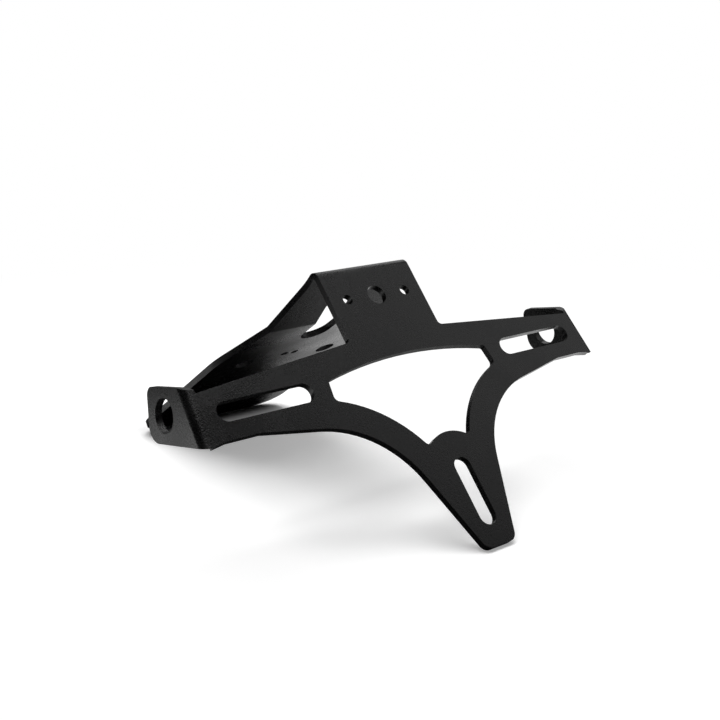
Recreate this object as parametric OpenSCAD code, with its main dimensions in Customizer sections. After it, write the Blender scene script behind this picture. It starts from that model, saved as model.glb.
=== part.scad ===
// Tail tidy: one folded sheet that hangs a number plate and two indicators
// behind a motorbike's tail. It stands on the tongue tip and the rear end.

/* [Sheet] */
// thickness of the sheet
sheet_t = 2.5; // [1.5:0.1:4]
// inner radius of every fold
fold_r = 1; // [0.5:0.1:3]

/* [Plate face] */
// height of the ridge fold above the plate origin
ridge_y = 51.7; // [42:0.1:70]
// half width of the neck
neck_half = 20.6; // [16:0.1:28]
// height of the wings' top edge at the centre
wing_top = 27.3; // [22:0.1:34]
// fall of the wings' top edge, in degrees
wing_fall = 5.68; // [0:0.1:12]
// half span of the plate face, measured at its foot
wing_half = 85.6; // [75:0.1:110]
// height of the wings' lower edge
wing_foot = 1.45; // [-2:0.05:5]
// distance out to the corner where the wings' lower edge turns down to the arm
foot_x = 68.2; // [60:0.1:76]
// length of the short edge that dips to the tab's fold
foot_dip = 5.2; // [3:0.1:8]
// drop of that short edge
foot_drop = 0.9; // [0.5:0.05:2.2]
// slope of the fold lines at the wing ends, in degrees
fold_lean = 3.65; // [0:0.05:8]
// round between neck and wing
neck_fillet = 1.8; // [0.5:0.1:6]

/* [Arms and tongue] */
// distance out to the centre of the arms' outer arc
arm_out_x = 52.8; // [48:0.1:58]
// height of the centre of the arms' outer arc
arm_out_y = -40.4; // [-46:0.1:-36]
// radius of the arms' outer edge
arm_out_r = 38.6; // [33:0.1:41]
// distance out to the centre of the arms' window arc
arm_in_x = 52.1; // [50:0.1:56]
// height of the centre of the arms' window arc
arm_in_y = -39.6; // [-43:0.1:-37]
// radius of the arms' window edge
arm_in_r = 47.9; // [45:0.1:50]
// height of the tongue's foot
tongue_foot = -57; // [-75:0.1:-50]
// taper of each tongue side, in degrees
tongue_taper = 18.5; // [12:0.1:24]
// round of the tongue's lower corners
tongue_round = 3.5; // [1:0.1:6]

/* [Window] */
// radius of the window's shallow top arc
window_r = 152; // [110:1:220]
// height of the window's top at the centre
window_top = 17.5; // [14:0.1:20]
// half width of the window at plate origin height
window_half = 37.7; // [33:0.1:41]
// inward slope of the window's short sides, in degrees
window_lean = 7.1; // [0:0.1:12]
// radius of the bump over the tongue slot
bump_r = 14.3; // [11:0.1:18]
// height of the bump's centre
bump_y = -28.8; // [-33:0.1:-26]
// round in the window's lower outer corners
window_round = 2.2; // [0.8:0.1:4]
// round in the window's upper outer corners
window_top_round = 1.2; // [0.5:0.1:4]
// round in the notches beside the bump
notch_round = 1.6; // [0.5:0.1:3]

/* [Slots and lamp holes] */
// width of the plate slots
slot_w = 7; // [5:0.1:8.5]
// height of the wing slots
wing_slot_y = 10.95; // [9:0.05:13]
// inner end centre of a wing slot
wing_slot_in = 46.9; // [43:0.1:55]
// outer end centre of a wing slot
wing_slot_out = 76.3; // [65:0.1:79]
// upper end centre of the tongue slot
tongue_slot_top = -27.9; // [-32:0.1:-25]
// lower end centre of the tongue slot
tongue_slot_low = -46.1; // [-50:0.1:-38]
// height of the three lamp holes
lamp_y = 41.35; // [36:0.05:45]
// diameter of the lamp's cable hole
lamp_cable_d = 7.6; // [5:0.1:12]
// diameter of the lamp's screw holes
lamp_screw_d = 3.9; // [3:0.1:5.5]
// distance between the lamp's screw holes
lamp_pitch = 26.2; // [20:0.1:34]

/* [Indicator tabs] */
// turn of the tabs' folds, in degrees
tab_turn = 85.8; // [80:0.1:95]
// height of a tab across its level edges
tab_h = 18.2; // [15:0.1:26]
// lower edge of a tab, from the fold line's foot
tab_low = 1.9; // [0:0.1:4]
// reach of a tab along its level edges
tab_reach = 30.5; // [27:0.1:45]
// rise of the tabs' level edges to the fold, in degrees
tab_rise = 30; // [20:0.5:36]
// diameter of the indicator hole
tab_hole_d = 11.4; // [8:0.1:13]
// distance from the hole's centre to the tab's rear edge
tab_hole_back = 10.2; // [8.5:0.05:14]
// round of a tab's upper rear corner
tab_round = 3.2; // [1:0.1:6]
// round of a tab's lower rear corner
tab_low_round = 6; // [1:0.1:8]
// rise of the fold's upper end across the fold
tab_step = 3; // [2:0.1:4]
// rise of the fold's lower end across the fold
tab_foot_step = 2; // [1:0.1:3]

/* [Roof panel] */
// turn of the ridge fold, in degrees
ridge_turn = 97.5; // [90:0.1:110]
// length of the roof panel
roof_len = 27.6; // [24:0.1:40]
// turn back of the second fold, in degrees
roof_turn = 15.5; // [8:0.1:24]
// start of the flare on the roof panel
flare_at = 3.5; // [3.4:0.1:8]
// flare of each side, in degrees
flare_lean = 15.1; // [10:0.1:20]
// round where the flare starts
flare_round = 25; // [10:1:25]
// half width of the cable opening over the second fold
cable_half = 6.3; // [4:0.1:9]
// start centre of the cable opening on the roof panel
cable_roof = 18.7; // [14:0.1:22]
// end centre of the cable opening on the mounting panel
cable_rear = 9.8; // [6:0.1:14]

/* [Mounting panel] */
// length of the mounting panel
rear_len = 111.8; // [90:0.1:130]
// half width of the mounting panel
rear_half = 35.2; // [31:0.1:42]
// round where the flare meets the side
side_round = 40; // [15:1:50]
// round of the rear corners
rear_round = 12; // [4:0.5:20]
// diameter of the two mounting holes
mount_d = 8; // [6:0.1:10.5]
// distance between the mounting holes
mount_pitch = 39.8; // [34:0.1:50]
// distance of the mounting holes from the second fold
mount_s = 35.4; // [30:0.1:45]
// diameter of the two tie holes
tie_d = 3.4; // [2.5:0.1:4.4]
// distance between the tie holes
tie_pitch = 5; // [4.6:0.1:8]
// distance of the tie holes from the second fold
tie_s = 32.1; // [24:0.1:38]

/* [Hidden] */
fold_out = fold_r + sheet_t;
arc_fn = 180;
hole_fn = 64;
wedge = 40;
lap = 0.01;
// every round and fold is this much larger, so that it crosses the edges that it joins
graze = 0.004;
// how far each flat runs into a fold, and a fold into its flats, in degrees
fold_lap = sqrt(graze * (fold_r + fold_out));
fold_margin = sqrt(graze / fold_out + graze / fold_r) * 180 / PI;
// longer than a tab in every direction, for the sheet that its outline is cut from
blank = 2 * tab_reach;
// the rear end's lower edge in the roof panel's frame, then in the plate's
rear_s = roof_len + rear_len * cos(roof_turn) + fold_out * sin(roof_turn);
rear_z = fold_out + fold_r + rear_len * sin(roof_turn) - fold_out * cos(roof_turn);
rear_y = ridge_y + rear_s * cos(ridge_turn) + rear_z * sin(ridge_turn);
rear_n = -fold_out - rear_s * sin(ridge_turn) + rear_z * cos(ridge_turn);
// lean that puts the tongue tip and the rear end on the ground
lean = atan2(-sheet_t - rear_n, rear_y - tongue_foot);
ground = tongue_foot * sin(lean) - sheet_t * cos(lean);
// level distances of the two ends, for an origin in the middle
rear_lean = ridge_turn - roof_turn - lean;
tip_reach = tongue_foot * cos(lean);
rear_reach = rear_y * cos(lean) - rear_n * sin(lean) + sheet_t * sin(rear_lean);
middle = (tip_reach + rear_reach) / 2;

function wing_y(x) = wing_top - x * tan(wing_fall);
function unit(a, b) = (b - a) / norm(b - a);
// where a line from p touches the circle r round c, on the left of the way from c to p
function touch(c, r, p) =
    let (turn = acos(r / norm(p - c)), e = unit(c, p))
    c + r * [e[0] * cos(turn) - e[1] * sin(turn), e[0] * sin(turn) + e[1] * cos(turn)];
// the point at ra from a and rb from b, on the left of the way from a to b
function meet(a, ra, b, rb) =
    let (d = norm(b - a), e = (b - a) / d, m = (ra * ra - rb * rb + d * d) / (2 * d))
    a + m * e + sqrt(ra * ra - m * m) * [-e[1], e[0]];
// the point at r from c whose x is x0 less lean times its y, on the upper side
function meet_line(c, r, x0, t) =
    let (e = x0 - c[1] * t - c[0], q = 1 + t * t)
    let (u = (e * t + sqrt(e * e * t * t - q * (e * e - r * r))) / q)
    [x0 - (c[1] + u) * t, c[1] + u];

// a shape and its mirror image about the middle
module both_sides() {
    children();
    mirror([1, 0, 0]) children();
}

// what a round of radius r takes off a corner, with its centre and two ways
module corner_cut(c, r, way_1, way_2) {
    difference() {
        polygon([c, c + wedge * way_1, c + wedge * (way_1 + way_2), c + wedge * way_2]);
        translate(c) circle(r = r + graze, $fn = hole_fn);
    }
}

// a slot between two centres on a level line
module level_slot(x0, x1, w) {
    translate([x0, -w / 2]) square([x1 - x0, w]);
    translate([x0, 0]) circle(d = w, $fn = hole_fn);
    translate([x1, 0]) circle(d = w, $fn = hole_fn);
}

// a point of a fold's section, at an angle from its start
function on_fold(turn) = 2 * fold_out * [sin(turn), cos(turn)];

// the section of a fold, which starts upwards and turns to the right
module fold_ring(turn) {
    intersection() {
        difference() {
            circle(r = fold_out + graze, $fn = arc_fn);
            circle(r = fold_r + graze, $fn = arc_fn);
        }
        polygon([[0, 0], on_fold(-fold_margin), on_fold(turn / 2), on_fold(turn + fold_margin)]);
    }
}

// half of the plate face without its window and holes
module face_half() {
    arm = [arm_out_x, arm_out_y];
    touch_wing = touch(arm, arm_out_r, [foot_x, wing_foot]);
    dip_y = wing_foot - foot_drop;
    touch_tongue = arm + arm_out_r * [-cos(tongue_taper), sin(tongue_taper)];
    foot_half = touch_tongue[0] + (tongue_foot - touch_tongue[1]) * tan(tongue_taper);
    end_half = wing_half + fold_lap / cos(fold_lean);
    top_y = (wing_top - end_half * tan(wing_fall)) / (1 - tan(wing_fall) * tan(fold_lean));
    round_x = foot_half + tongue_round * tan(tongue_taper) - tongue_round / cos(tongue_taper);
    neck_x = neck_half + neck_fillet;
    neck_y = wing_y(neck_x) + neck_fillet / cos(wing_fall);
    difference() {
        union() {
            translate([-lap, 0]) square([neck_half + lap, ridge_y + fold_lap]);
            polygon([
                [-lap, wing_top],
                [end_half - top_y * tan(fold_lean), top_y],
                [end_half - dip_y * tan(fold_lean), dip_y],
                [wing_half - foot_dip, wing_foot],
                [foot_x, wing_foot],
                touch_wing,
                touch_tongue,
                [foot_half, tongue_foot],
                [-lap, tongue_foot]
            ]);
            difference() {
                polygon([
                    [neck_half - 1, neck_y],
                    [neck_x, neck_y],
                    [neck_x - neck_fillet * sin(wing_fall), neck_y - neck_fillet * cos(wing_fall)],
                    [neck_x - neck_fillet * sin(wing_fall), neck_y - neck_fillet - 1],
                    [neck_half - 1, neck_y - neck_fillet - 1]
                ]);
                translate([neck_x, neck_y]) circle(r = neck_fillet + graze, $fn = hole_fn);
            }
        }
        translate(arm) circle(r = arm_out_r + graze, $fn = arc_fn);
        corner_cut(
            [round_x, tongue_foot + tongue_round], tongue_round,
            [cos(tongue_taper), -sin(tongue_taper)], [0, -1]
        );
    }
}

// half of the window, with its rounded corners
module window_half_shape() {
    arm = [arm_in_x, arm_in_y];
    bump = [0, bump_y];
    top = [0, window_top - window_r];
    t = tan(window_lean);
    side = [cos(window_lean), sin(window_lean)];
    low = meet_line(arm, arm_in_r + window_round, window_half - window_round / side[0], t);
    high = meet_line(top, window_r - window_top_round, window_half - window_top_round / side[0], t);
    notch = meet(bump, bump_r + notch_round, arm, arm_in_r + notch_round);
    difference() {
        intersection() {
            polygon([
                [-lap, bump_y],
                [window_half - bump_y * t, bump_y],
                [window_half - wing_top * t, wing_top],
                [-lap, wing_top]
            ]);
            translate(top) circle(r = window_r, $fn = arc_fn);
        }
        translate(arm) circle(r = arm_in_r, $fn = arc_fn);
        translate(bump) circle(r = bump_r, $fn = arc_fn);
        corner_cut(low, window_round, side, unit(low, arm));
        corner_cut(high, window_top_round, side, unit(top, high));
        corner_cut(notch, notch_round, unit(notch, arm), unit(notch, bump));
    }
}

// the number plate's face, seen from the front
module face_outline() {
    difference() {
        both_sides() face_half();
        both_sides() window_half_shape();
        both_sides() translate([0, wing_slot_y]) level_slot(wing_slot_in, wing_slot_out, slot_w);
        rotate(90) level_slot(tongue_slot_low, tongue_slot_top, slot_w);
        translate([0, lamp_y]) circle(d = lamp_cable_d, $fn = hole_fn);
        both_sides() translate([lamp_pitch / 2, lamp_y]) circle(d = lamp_screw_d, $fn = hole_fn);
    }
}

// a point of a tab, given along and across its level edges
function raised(p) = [
    p[0] * cos(tab_rise) - p[1] * sin(tab_rise),
    p[0] * sin(tab_rise) + p[1] * cos(tab_rise)
];

// a tab seen from the side, with the fold's stepped ends before it
module tab_outline() {
    top = tab_low + tab_h;
    fold_top = top / cos(tab_rise);
    fold_low = tab_low / cos(tab_rise);
    difference() {
        polygon([
            [-1.2 * fold_out, fold_low - 1.2 * tab_foot_step],
            [0, fold_low],
            raised([tab_reach, tab_low]),
            raised([tab_reach, top]),
            [0, fold_top],
            [-1.2 * fold_out, fold_top - 1.2 * tab_step]
        ]);
        rotate(tab_rise) {
            corner_cut([tab_reach - tab_round, top - tab_round], tab_round, [1, 0], [0, 1]);
            corner_cut([tab_reach - tab_low_round, tab_low + tab_low_round], tab_low_round, [1, 0], [0, -1]);
            translate([tab_reach - tab_hole_back, tab_low + tab_h / 2]) circle(d = tab_hole_d, $fn = hole_fn);
        }
    }
}

// the fold and the indicator tab at one wing end
module wing_tab() {
    translate([wing_half, 0, 0]) rotate([0, 0, fold_lean]) intersection() {
        rotate([90, 0, 0]) translate([0, -fold_out, -blank]) linear_extrude(2 * blank) union() {
            fold_ring(tab_turn);
            rotate(90 - tab_turn) translate([fold_r, -blank]) square([sheet_t, blank + fold_lap]);
        }
        translate([0, 0, -fold_out]) rotate([0, tab_turn, 0]) translate([0, 0, -fold_out])
            linear_extrude(4 * fold_out) tab_outline();
    }
}

// half of the roof panel and the flare that runs on over the second fold
module flare_half() {
    side_s = flare_at + (rear_half - neck_half) / tan(flare_lean);
    start_reach = flare_round * tan(flare_lean / 2);
    side_reach = side_round * tan(flare_lean / 2);
    difference() {
        union() {
            polygon([
                [-lap, -1],
                [neck_half, -1],
                [neck_half, flare_at],
                [rear_half, side_s],
                [rear_half, 2 * rear_len],
                [-lap, 2 * rear_len]
            ]);
            difference() {
                polygon([
                    [neck_half - 1, flare_at - start_reach],
                    [neck_half, flare_at - start_reach],
                    [neck_half + start_reach * sin(flare_lean), flare_at + start_reach * cos(flare_lean)],
                    [neck_half - 1, flare_at + start_reach]
                ]);
                translate([neck_half + flare_round, flare_at - start_reach])
                    circle(r = flare_round + graze, $fn = arc_fn);
            }
        }
        corner_cut(
            [rear_half - side_round, side_s + side_reach], side_round,
            [1, 0], [cos(flare_lean), -sin(flare_lean)]
        );
    }
}

// the mounting panel with its holes, from the second fold to the rear end
module rear_outline() {
    inset = [rear_half - rear_round, rear_len - rear_round];
    difference() {
        translate([-rear_half, -fold_lap]) square([2 * rear_half, rear_len + fold_lap]);
        both_sides() corner_cut(inset, rear_round, [1, 0], [0, 1]);
        both_sides() translate([mount_pitch / 2, mount_s]) circle(d = mount_d, $fn = hole_fn);
        both_sides() translate([tie_pitch / 2, tie_s]) circle(d = tie_d, $fn = hole_fn);
        translate([0, cable_rear]) circle(r = cable_half, $fn = hole_fn);
        translate([-cable_half, -1]) square([2 * cable_half, cable_rear + 1]);
    }
}

// the roof panel, seen from above its outer face
module roof_outline() {
    difference() {
        translate([-rear_half, -fold_lap]) square([2 * rear_half, roof_len + 2 * fold_lap]);
        translate([0, cable_roof]) circle(r = cable_half, $fn = hole_fn);
        translate([-cable_half, cable_roof]) square([2 * cable_half, roof_len - cable_roof + 1]);
    }
}

// the second fold's section, left open in the middle for the cables
module second_fold() {
    width = rear_half - cable_half - graze;
    for (side = [-rear_half, cable_half + graze])
        rotate([90, 0, 90]) translate([0, 0, side]) linear_extrude(width)
            mirror([0, 1, 0]) fold_ring(roof_turn);
}

// everything behind the ridge, from the end of the ridge fold
module tail_panels() {
    intersection() {
        union() {
            translate([0, 0, fold_r]) linear_extrude(sheet_t) roof_outline();
            translate([0, roof_len, fold_out + fold_r]) {
                second_fold();
                rotate([roof_turn, 0, 0]) translate([0, 0, -fold_out]) linear_extrude(sheet_t) rear_outline();
            }
        }
        translate([0, 0, -fold_out]) linear_extrude(rear_len + fold_out) both_sides() flare_half();
    }
}

module bracket() {
    color("#26282a")
    translate([0, -middle, -ground]) rotate([lean, 0, 0]) union() {
        translate([0, 0, -sheet_t]) linear_extrude(sheet_t) face_outline();
        both_sides() wing_tab();
        translate([0, ridge_y, -fold_out]) {
            rotate([90, 0, 90]) translate([0, 0, graze - neck_half])
                linear_extrude(2 * neck_half - 2 * graze) fold_ring(ridge_turn);
            rotate([-ridge_turn, 0, 0]) tail_panels();
        }
    }
}

bracket();
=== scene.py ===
import math
from functools import reduce

import bmesh
import bpy
from mathutils import Matrix, Vector


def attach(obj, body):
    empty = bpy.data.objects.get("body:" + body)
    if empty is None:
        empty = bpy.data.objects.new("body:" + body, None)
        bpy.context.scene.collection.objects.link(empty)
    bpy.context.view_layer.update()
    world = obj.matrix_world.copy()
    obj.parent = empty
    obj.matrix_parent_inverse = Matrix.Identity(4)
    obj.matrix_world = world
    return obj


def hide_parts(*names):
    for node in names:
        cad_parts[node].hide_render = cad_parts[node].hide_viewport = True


# The tail tidy is one folded sheet with a satin black powder coat. It stands on a white floor in a
# dark room, and because the coat mirrors what is round it, the floor is painted dark in mirror
# images past a small area round the object.
# Lengths are in metres. A ramp is four numbers: the place where it starts, the
# place where it ends, its value before the start and its value after the end.

# Softened sheet: points closer than the first are one point, edges that turn by
# more than the second, in degrees, are cut edges, and the coat rounds those. The
# last lets large faces count most for the normals near them, where 50 is neutral
MERGE_DISTANCE = 6e-6
CUT_EDGE_TURN = 35
EDGE_ROUND = 0.00022
EDGE_FACES = 2
EDGE_PROFILE = 0.6
AREA_WEIGHT = 100

# Powder coat: noise scales, per metre, and how much of each goes in
GRAIN_SCALE = 2300.0
GRAIN_DETAIL = 2.0
FLOW_SCALE = 420.0
FLOW_DETAIL = 1.0
FLOW_SHARE = 0.06
PATCH_SCALE = 70.0
PATCH_DETAIL = 3.0
PATCH_SHARE = 0.55

# Powder coat: what its tone does to its grey and its roughness, and its bumps
TONE_STOPS = (0.35, 0.68)
COAT_GREYS = (0.0016, 0.0046)
COAT_TINT = (1.0, 1.0, 1.04)
TONE_TO_ROUGHNESS = (0.35, 0.65, 0.20, 0.38)
BUMP_STRENGTH = 0.7
BUMP_HEIGHT = 0.00009
COAT_IOR = 1.5

# Floor: its half size, its grey, and the painted light added to it, which lightens its shadows
FLOOR_HALF = 4.0
FLOOR_PAPER = 0.85
FLOOR_PAINTED_LIGHT = 0.34

# Floor: how it becomes plain white to the camera, away from the middle, and sideways, where the
# white is painted light over the wings' shadows
AWAY_TO_WHITE = (0.20, 0.50, 0.0, 1.0)
SIDE_PAINTED_WHITE = (0.035, 0.075, 0.0, 0.75)

# Floor: the patch round the far end of the mounting panel that gets no painted light, so that the
# shade there stays dark
SHADE_PATCH_SIDE = (0.030, 0.045, 1.0, 0.0)
SHADE_PATCH_FRONT = (0.066, 0.090, 0.0, 1.0)
SHADE_PATCH_BACK = (0.095, 0.110, 1.0, 0.0)

# Floor in mirror images: painted reflection that makes it brighter right and left of the object
MIRROR_BRIGHT_RIGHT = (0.04, 0.10, 0.0, 0.9)
MIRROR_BRIGHT_LEFT = (-0.20, -0.14, 1.1, 0.0)

# Floor in mirror images: painted dark past a small area round the object, as past a table's edge,
# and behind the object
MIRROR_DARK_FAR = (0.28, 0.36, 0.0, 1.0)
MIRROR_DARK_BACK = (0.13, 0.21, 0.0, 1.0)

# Floor in mirror images: painted shade under the object and below its roof panel
MIRROR_SHADE_LEFT = (-0.12, -0.07, 0.0, 1.0)
MIRROR_SHADE_RIGHT = (0.0, 0.07, 0.97, 0.0)
MIRROR_SHADE_BACK = (0.10, 0.13, 1.0, 0.0)
ROOF_MIRROR_SHADE_SIDE = (0.085, 0.11, 1.0, 0.0)
ROOF_MIRROR_SHADE_BACK = (0.015, 0.045, 0.62, 0.0)

# Room in mirror images: a painted reflection of a pale wall behind the object, seen only by mirror
# rays, that fades to the left and upwards, by the direction of sight, and the dim light of the rest
REFLECTED_WALL_BEHIND = (0.55, 0.75, 0.0, 1.0)
REFLECTED_WALL_TOP = (0.15, 0.45, 1.0, 0.0)
REFLECTED_WALL_RIGHT = (-0.2, 0.4, 0.0, 0.35)
ROOM_LIGHT = 0.015

# Lamps: name, place, the point they aim at, side and power in watts
LAMPS = (
    ("overhead", (-0.05, 0.20, 1.1), (-0.05, 0.20, 0), 1.1, 16.0),
    ("right_fill", (0.95, -0.35, 0.80), (0, 0, 0.05), 0.8, 1.2),
    ("ridge_light", (0.80, 0.60, 0.70), (0, 0, 0.07), 0.5, 0.9),
)

# Camera: place, turn in degrees, lens and sensor width in millimetres, and reach
CAMERA_PLACE = (-0.244185, -0.327711, 0.155155)
CAMERA_TURN = (74.9665, 0.7334, -38.6181)
CAMERA_LENS = 54.855
CAMERA_SENSOR = 36.0
CAMERA_REACH = (0.01, 50.0)

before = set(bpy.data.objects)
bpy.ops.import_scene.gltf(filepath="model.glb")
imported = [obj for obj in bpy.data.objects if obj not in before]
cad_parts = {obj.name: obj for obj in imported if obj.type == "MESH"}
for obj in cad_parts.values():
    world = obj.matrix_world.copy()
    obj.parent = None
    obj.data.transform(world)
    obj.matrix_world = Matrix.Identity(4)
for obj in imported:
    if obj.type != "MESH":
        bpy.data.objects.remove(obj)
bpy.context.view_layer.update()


def grey(value, tint=(1.0, 1.0, 1.0)):
    """A colour from one grey value and a slight tint."""
    return (value * tint[0], value * tint[1], value * tint[2], 1.0)


# The sheet


def soften_edges(mesh):
    """Round the cut edges of the sheet, and shade all of it smooth."""
    shape = bmesh.new()
    shape.from_mesh(mesh)
    bmesh.ops.remove_doubles(shape, verts=shape.verts, dist=MERGE_DISTANCE)
    bmesh.ops.dissolve_degenerate(shape, edges=shape.edges, dist=MERGE_DISTANCE)
    cut_edges = [
        edge for edge in shape.edges
        if len(edge.link_faces) == 2 and edge.calc_face_angle(0) > math.radians(CUT_EDGE_TURN)
    ]
    for edge in shape.edges:
        edge.smooth = True
    bmesh.ops.bevel(
        shape, geom=cut_edges, offset=EDGE_ROUND, offset_type="OFFSET", segments=EDGE_FACES,
        profile=EDGE_PROFILE, affect="EDGES", clamp_overlap=True,
    )
    bmesh.ops.recalc_face_normals(shape, faces=shape.faces)
    for face in shape.faces:
        face.smooth = True
    shape.to_mesh(mesh)
    shape.free()


def even_normals(sheet):
    """Keep the large faces flat in the light, so that only the rounded edges catch it."""
    even = sheet.modifiers.new("even_normals", "WEIGHTED_NORMAL")
    even.weight = AREA_WEIGHT
    even.keep_sharp = False
    shown = sheet.evaluated_get(bpy.context.evaluated_depsgraph_get())
    mesh = bpy.data.meshes.new_from_object(shown)
    sheet.modifiers.clear()
    sheet.data = mesh


def coated_sheet(node):
    """A copy of the folded sheet whose cut edges are rounded by the coat."""
    mesh = node.data.copy()
    mesh.name = "coated_sheet"
    soften_edges(mesh)
    sheet = bpy.data.objects.new("coated_sheet", mesh)
    bpy.context.scene.collection.objects.link(sheet)
    even_normals(sheet)
    return sheet


# Nodes that the materials and the world share


def map_range(tree, value, ramp, kind="SMOOTHSTEP"):
    """The value that a ramp gives for a socket's value."""
    node = tree.nodes.new("ShaderNodeMapRange")
    node.interpolation_type = kind
    for label, number in zip(("From Min", "From Max", "To Min", "To Max"), ramp):
        node.inputs[label].default_value = number
    tree.links.new(value, node.inputs["Value"])
    return node.outputs["Result"]


def math_node(tree, kind, *values):
    """One math node on sockets or plain numbers."""
    node = tree.nodes.new("ShaderNodeMath")
    node.operation = kind
    for slot, value in zip(node.inputs, values):
        if isinstance(value, (int, float)):
            slot.default_value = value
        else:
            tree.links.new(value, slot)
    return node.outputs[0]


def product(tree, *values):
    """All values multiplied."""
    return reduce(lambda total, value: math_node(tree, "MULTIPLY", total, value), values)


def largest(tree, *values):
    """The largest of all values."""
    return reduce(lambda most, value: math_node(tree, "MAXIMUM", most, value), values)


def mixed_shaders(tree, share, first, second):
    """The second shader by a share, and the first for the rest."""
    node = tree.nodes.new("ShaderNodeMixShader")
    tree.links.new(share, node.inputs[0])
    tree.links.new(first, node.inputs[1])
    tree.links.new(second, node.inputs[2])
    return node.outputs[0]


# The powder coat


def node_group(name, inputs, outputs):
    """An empty node group with its sockets, and its two end nodes."""
    group = bpy.data.node_groups.new(name, "ShaderNodeTree")
    for label, kind, value in inputs:
        socket = group.interface.new_socket(label, in_out="INPUT", socket_type=kind)
        if value is not None:
            socket.default_value = value
    for label, kind in outputs:
        group.interface.new_socket(label, in_out="OUTPUT", socket_type=kind)
    start = group.nodes.new("NodeGroupInput")
    end = group.nodes.new("NodeGroupOutput")
    return group, start, end


def powder_group():
    """The coat's fine grain: a height for the bumps, and a tone between 0 and 1."""
    group, start, end = node_group(
        "powder_grain",
        [
            ("Place", "NodeSocketVector", None),
            ("Grain per metre", "NodeSocketFloat", GRAIN_SCALE),
            ("Flow per metre", "NodeSocketFloat", FLOW_SCALE),
            ("Flow share", "NodeSocketFloat", FLOW_SHARE),
        ],
        [("Height", "NodeSocketFloat"), ("Tone", "NodeSocketFloat")],
    )
    new, link = group.nodes.new, group.links.new
    grain = new("ShaderNodeTexNoise")
    grain.inputs["Detail"].default_value = GRAIN_DETAIL
    flow = new("ShaderNodeTexNoise")
    flow.inputs["Detail"].default_value = FLOW_DETAIL
    patch = new("ShaderNodeTexNoise")
    patch.inputs["Scale"].default_value = PATCH_SCALE
    patch.inputs["Detail"].default_value = PATCH_DETAIL
    height = new("ShaderNodeMix")
    tone = new("ShaderNodeMix")
    tone.inputs["Factor"].default_value = PATCH_SHARE
    for noise in (grain, flow, patch):
        link(start.outputs["Place"], noise.inputs["Vector"])
    link(start.outputs["Grain per metre"], grain.inputs["Scale"])
    link(start.outputs["Flow per metre"], flow.inputs["Scale"])
    link(start.outputs["Flow share"], height.inputs["Factor"])
    link(grain.outputs["Fac"], height.inputs["A"])
    link(flow.outputs["Fac"], height.inputs["B"])
    link(grain.outputs["Fac"], tone.inputs["A"])
    link(patch.outputs["Fac"], tone.inputs["B"])
    link(height.outputs["Result"], end.inputs["Height"])
    link(tone.outputs["Result"], end.inputs["Tone"])
    return group


def satin_black():
    """Satin black powder coat with a fine texture."""
    mat = bpy.data.materials.new("satin_black_powder_coat")
    mat.use_nodes = True
    tree = mat.node_tree
    new, link = tree.nodes.new, tree.links.new
    shader = tree.nodes["Principled BSDF"]
    shader.inputs["IOR"].default_value = COAT_IOR
    place = new("ShaderNodeTexCoord")
    grain = new("ShaderNodeGroup")
    grain.node_tree = powder_group()
    colour = new("ShaderNodeValToRGB")
    for stop, where, value in zip(colour.color_ramp.elements, TONE_STOPS, COAT_GREYS):
        stop.position = where
        stop.color = grey(value, COAT_TINT)
    bump = new("ShaderNodeBump")
    bump.inputs["Strength"].default_value = BUMP_STRENGTH
    bump.inputs["Distance"].default_value = BUMP_HEIGHT
    roughness = map_range(tree, grain.outputs["Tone"], TONE_TO_ROUGHNESS, "LINEAR")
    link(place.outputs["Object"], grain.inputs["Place"])
    link(grain.outputs["Tone"], colour.inputs["Fac"])
    link(grain.outputs["Height"], bump.inputs["Height"])
    link(colour.outputs["Color"], shader.inputs["Base Color"])
    link(roughness, shader.inputs["Roughness"])
    link(bump.outputs["Normal"], shader.inputs["Normal"])
    return mat


# The floor


def floor_places(tree):
    """Where a point of the floor lies: x, y, sideways and away from the middle."""
    place = tree.nodes.new("ShaderNodeTexCoord")
    split = tree.nodes.new("ShaderNodeSeparateXYZ")
    away = tree.nodes.new("ShaderNodeVectorMath")
    away.operation = "LENGTH"
    tree.links.new(place.outputs["Object"], split.inputs[0])
    tree.links.new(place.outputs["Object"], away.inputs[0])
    x, y = split.outputs["X"], split.outputs["Y"]
    return x, y, math_node(tree, "ABSOLUTE", x), away.outputs["Value"]


def plain_shader(tree, kind, value):
    """A shader node of one grey."""
    node = tree.nodes.new(kind)
    node.inputs["Color"].default_value = grey(value)
    return node


def paper_with_painted_light(tree, x, y, sideways, path):
    """White paper with painted light added: for the camera it lightens the shadows, except at the
    shade patch, and it is a painted reflection in bright mirror images.
    """
    # painted shade: the patch round the panel's far end gets no painted light
    shade_patch = product(
        tree,
        map_range(tree, sideways, SHADE_PATCH_SIDE),
        map_range(tree, y, SHADE_PATCH_FRONT),
        map_range(tree, y, SHADE_PATCH_BACK),
    )
    gain = product(tree, math_node(tree, "SUBTRACT", 1.0, shade_patch), FLOOR_PAINTED_LIGHT)
    # painted reflection: the floor is brighter in mirror images right and left of the object
    bright = largest(tree, map_range(tree, x, MIRROR_BRIGHT_RIGHT), map_range(tree, x, MIRROR_BRIGHT_LEFT))
    mirrored = product(tree, bright, path.outputs["Is Glossy Ray"])
    seen = largest(tree, mirrored, path.outputs["Is Camera Ray"])
    # painted light: an emission on the floor that is no lamp
    lift = plain_shader(tree, "ShaderNodeEmission", 1.0)
    tree.links.new(product(tree, gain, seen), lift.inputs["Strength"])
    paper = plain_shader(tree, "ShaderNodeBsdfDiffuse", FLOOR_PAPER)
    both = tree.nodes.new("ShaderNodeAddShader")
    tree.links.new(paper.outputs[0], both.inputs[0])
    tree.links.new(lift.outputs[0], both.inputs[1])
    return both.outputs[0]


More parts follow.
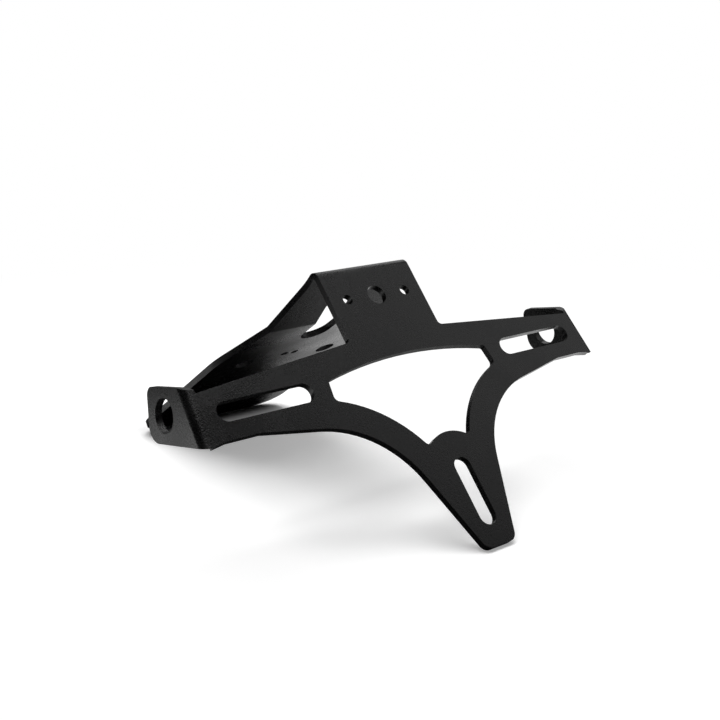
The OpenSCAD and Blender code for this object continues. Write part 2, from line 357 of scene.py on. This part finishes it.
def white_share(tree, sideways, away, path):
    """How much of the floor the camera sees as plain white; beside the object this is painted light
    over the wings' shadows.
    """
    far = map_range(tree, away, AWAY_TO_WHITE)
    # painted light: white over the wings' shadows beside the object
    painted_white_beside = map_range(tree, sideways, SIDE_PAINTED_WHITE)
    return product(tree, largest(tree, far, painted_white_beside), path.outputs["Is Camera Ray"])


def painted_mirror_dark(tree, x, y, sideways, away, path):
    """How much of the floor mirror images see painted dark: painted shade under the object and its
    roof, and dark past a small area and behind.
    """
    # painted shade: dark in mirror images under the object and below its roof panel
    across = product(tree, map_range(tree, x, MIRROR_SHADE_LEFT), map_range(tree, x, MIRROR_SHADE_RIGHT))
    under = product(tree, across, map_range(tree, y, MIRROR_SHADE_BACK))
    roof = product(tree, map_range(tree, sideways, ROOF_MIRROR_SHADE_SIDE), map_range(tree, y, ROOF_MIRROR_SHADE_BACK))
    beyond = map_range(tree, away, MIRROR_DARK_FAR)
    back = map_range(tree, y, MIRROR_DARK_BACK)
    return product(tree, largest(tree, beyond, back, under, roof), path.outputs["Is Glossy Ray"])


def white_floor():
    """A pale floor that keeps the shadow, and is plain white away from the object.

    Mirror images see it painted dark past a small area round the object, as the edge of a small
    table would look, and painted as shade under the object.
    """
    mat = bpy.data.materials.new("white_floor")
    mat.use_nodes = True
    tree = mat.node_tree
    tree.nodes.clear()
    path = tree.nodes.new("ShaderNodeLightPath")
    x, y, sideways, away = floor_places(tree)
    paper = paper_with_painted_light(tree, x, y, sideways, path)
    white = plain_shader(tree, "ShaderNodeEmission", 1.0).outputs[0]
    # painted reflection: the floor is black in mirror images where it is painted dark
    mirror_black = plain_shader(tree, "ShaderNodeBsdfDiffuse", 0.0).outputs[0]
    seen = mixed_shaders(tree, white_share(tree, sideways, away, path), paper, white)
    surface = mixed_shaders(tree, painted_mirror_dark(tree, x, y, sideways, away, path), seen, mirror_black)
    out = tree.nodes.new("ShaderNodeOutputMaterial")
    tree.links.new(surface, out.inputs["Surface"])
    return mat


def floor():
    """The floor, which belongs to the stage and not to the object."""
    mesh = bpy.data.meshes.new("floor")
    corners = [(x * FLOOR_HALF, y * FLOOR_HALF, 0) for x, y in ((-1, -1), (1, -1), (1, 1), (-1, 1))]
    mesh.from_pydata(corners, [], [(0, 1, 2, 3)])
    ob = bpy.data.objects.new("floor", mesh)
    bpy.context.scene.collection.objects.link(ob)
    mesh.materials.append(white_floor())


# The studio


def soft_lamp(name, place, aim, side, power):
    """A square lamp that looks at a point."""
    lamp = bpy.data.lights.new(name, "AREA")
    lamp.shape = "RECTANGLE"
    lamp.size = side
    lamp.size_y = side
    lamp.energy = power
    ob = bpy.data.objects.new(name, lamp)
    turn = (Vector(aim) - Vector(place)).to_track_quat("-Z", "Y").to_matrix()
    ob.matrix_world = Matrix.Translation(place) @ turn.to_4x4()
    bpy.context.scene.collection.objects.link(ob)


def studio_world():
    """Plain white to the camera, and in mirror images a dim room with a painted reflection of a
    pale wall.
    """
    world = bpy.data.worlds.new("studio")
    bpy.context.scene.world = world
    world.use_nodes = True
    tree = world.node_tree
    tree.nodes.clear()
    path = tree.nodes.new("ShaderNodeLightPath")
    way = tree.nodes.new("ShaderNodeTexCoord")
    split = tree.nodes.new("ShaderNodeSeparateXYZ")
    tree.links.new(way.outputs["Generated"], split.inputs[0])
    # painted reflection: the pale wall shows in mirror rays only and lights nothing
    wall = product(
        tree,
        map_range(tree, split.outputs["Y"], REFLECTED_WALL_BEHIND),
        map_range(tree, split.outputs["Z"], REFLECTED_WALL_TOP),
        map_range(tree, split.outputs["X"], REFLECTED_WALL_RIGHT),
        path.outputs["Is Glossy Ray"],
    )
    light = plain_shader(tree, "ShaderNodeBackground", 1.0)
    level = largest(tree, wall, ROOM_LIGHT, path.outputs["Is Camera Ray"])
    tree.links.new(level, light.inputs["Strength"])
    out = tree.nodes.new("ShaderNodeOutputWorld")
    tree.links.new(light.outputs[0], out.inputs["Surface"])


def camera():
    """The camera that took the photograph, as solved from it."""
    cam = bpy.data.cameras.new("camera")
    cam.sensor_width = CAMERA_SENSOR
    cam.lens = CAMERA_LENS
    cam.clip_start, cam.clip_end = CAMERA_REACH
    ob = bpy.data.objects.new("camera", cam)
    ob.location = CAMERA_PLACE
    ob.rotation_euler = [math.radians(angle) for angle in CAMERA_TURN]
    bpy.context.scene.collection.objects.link(ob)
    bpy.context.scene.camera = ob


camera()
studio_world()
floor()
for lamp_values in LAMPS:
    soft_lamp(*lamp_values)

sheet = coated_sheet(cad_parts["bracket"])
sheet.data.materials.clear()
sheet.data.materials.append(satin_black())
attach(sheet, "root")
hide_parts("bracket")

bpy.context.scene.view_settings.view_transform = "Standard"
